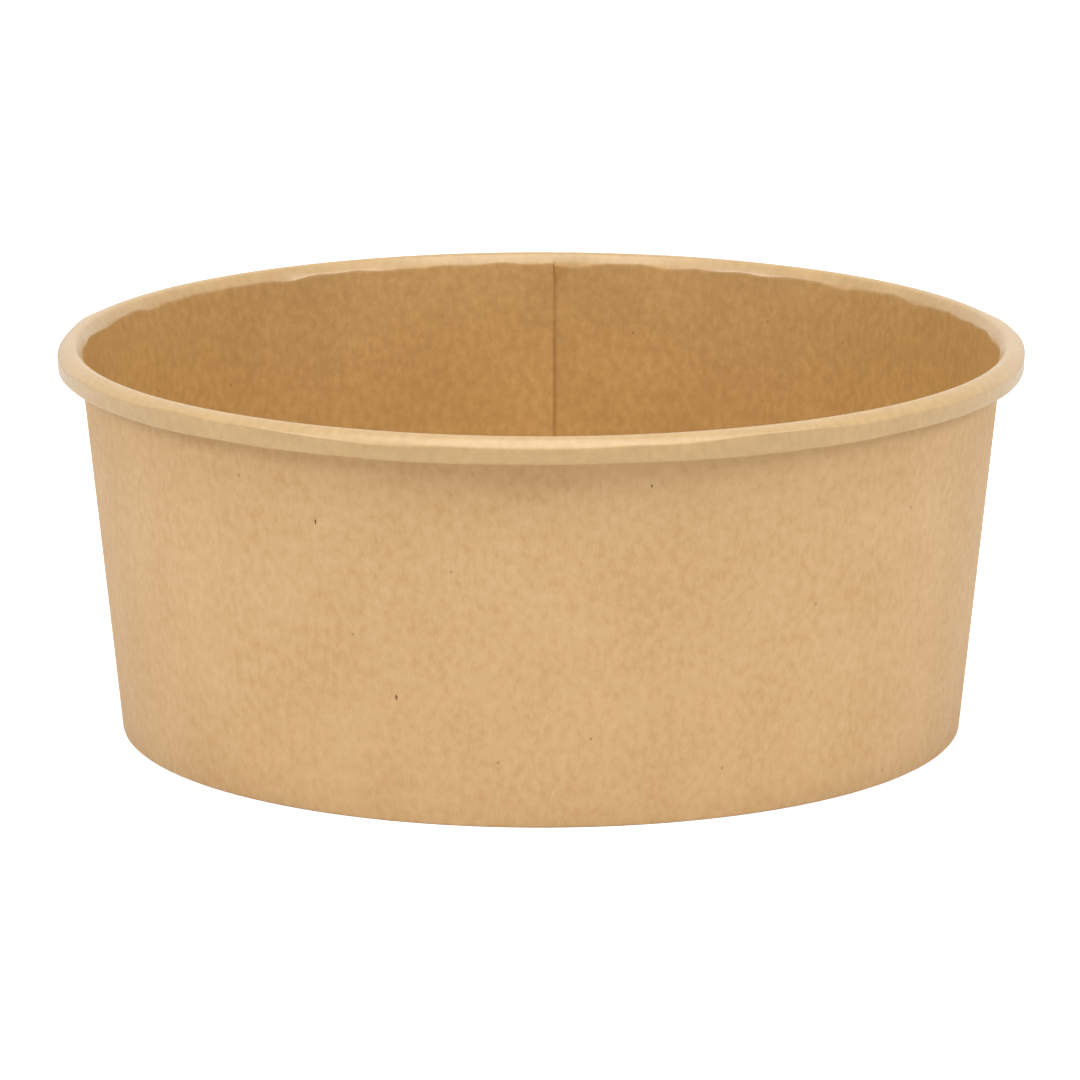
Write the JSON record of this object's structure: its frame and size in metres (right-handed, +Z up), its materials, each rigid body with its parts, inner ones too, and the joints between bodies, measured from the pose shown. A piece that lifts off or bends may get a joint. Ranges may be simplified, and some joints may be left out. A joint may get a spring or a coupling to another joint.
{
  "type": "kraft paper bucket",
  "caption": "Low round take-away bucket of brown kraft board with a rolled rim, a lapped side seam and a recessed base.",
  "frame": {"origin": "centre of the foot, on the surface that the bucket stands on", "axes": "+Z up along the bucket's axis of revolution, -Y towards the side shown in front, with the side seam at +Y"},
  "size_m": [0.15, 0.15, 0.061],
  "materials": {
    "sidewall_kraft": "matte",
    "base_kraft": "satin"
  },
  "bodies": {
    "root": {"sidewall": "sidewall_kraft", "base": "base_kraft"}
  },
  "joints": []
}
